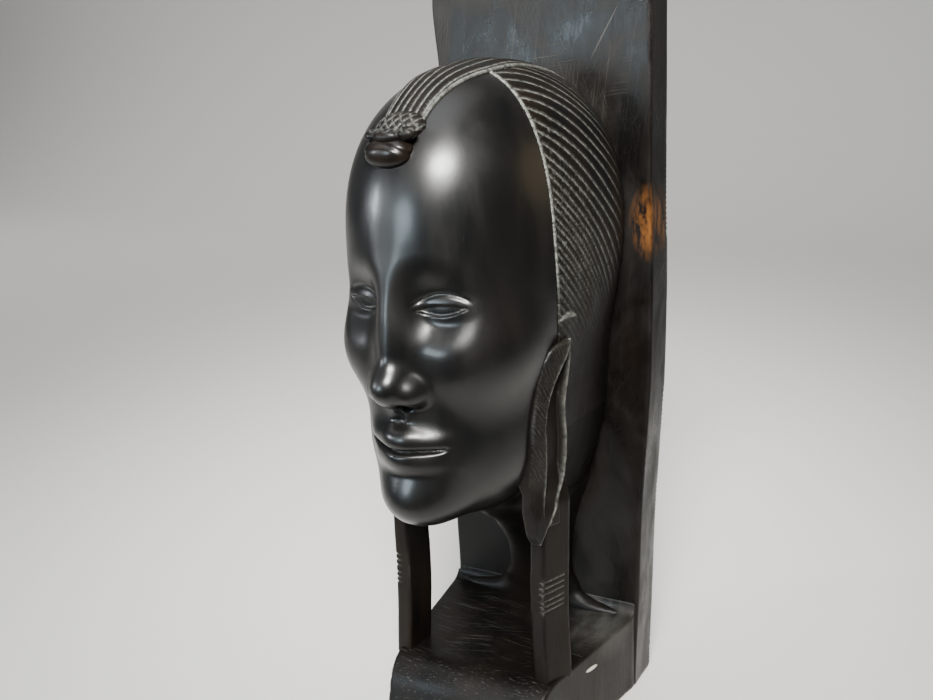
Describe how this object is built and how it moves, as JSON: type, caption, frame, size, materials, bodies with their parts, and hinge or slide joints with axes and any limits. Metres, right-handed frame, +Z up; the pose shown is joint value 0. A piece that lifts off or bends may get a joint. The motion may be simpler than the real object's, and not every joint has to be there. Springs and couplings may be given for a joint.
{
  "type": "carved head bookend",
  "caption": "Upright carved dark-wood bookend: a head with swept incised hair and long ear pendants in front of a flat slab, over a plinth.",
  "frame": {"origin": "centre of the rectangle that the bookend stands on, on the underside", "axes": "+Z up; the face looks along -Y; +Y is the outward normal of the flat back that the books lean on"},
  "size_m": [0.0826, 0.1156, 0.262],
  "materials": {
    "ebony_polished": "hand-polished, oiled black wood with a clear sheen",
    "ebony_incised": "satin black-brown wood with fine incised lines, paler where the blade cut",
    "ebony_plain": "hand-scraped satin black wood with fine scratches and worn edges"
  },
  "bodies": {
    "root": {"slab": "ebony_plain", "plinth": "ebony_plain", "neck": "ebony_plain", "head": "ebony_polished", "hair_crest": "ebony_incised", "hair_left": "ebony_incised", "hair_right": "ebony_incised", "hair_knot": "ebony_polished", "knot_binding": "ebony_incised", "ear_left": "ebony_polished", "ear_right": "ebony_polished", "pendant_left": "ebony_plain", "pendant_right": "ebony_plain"}
  },
  "joints": []
}
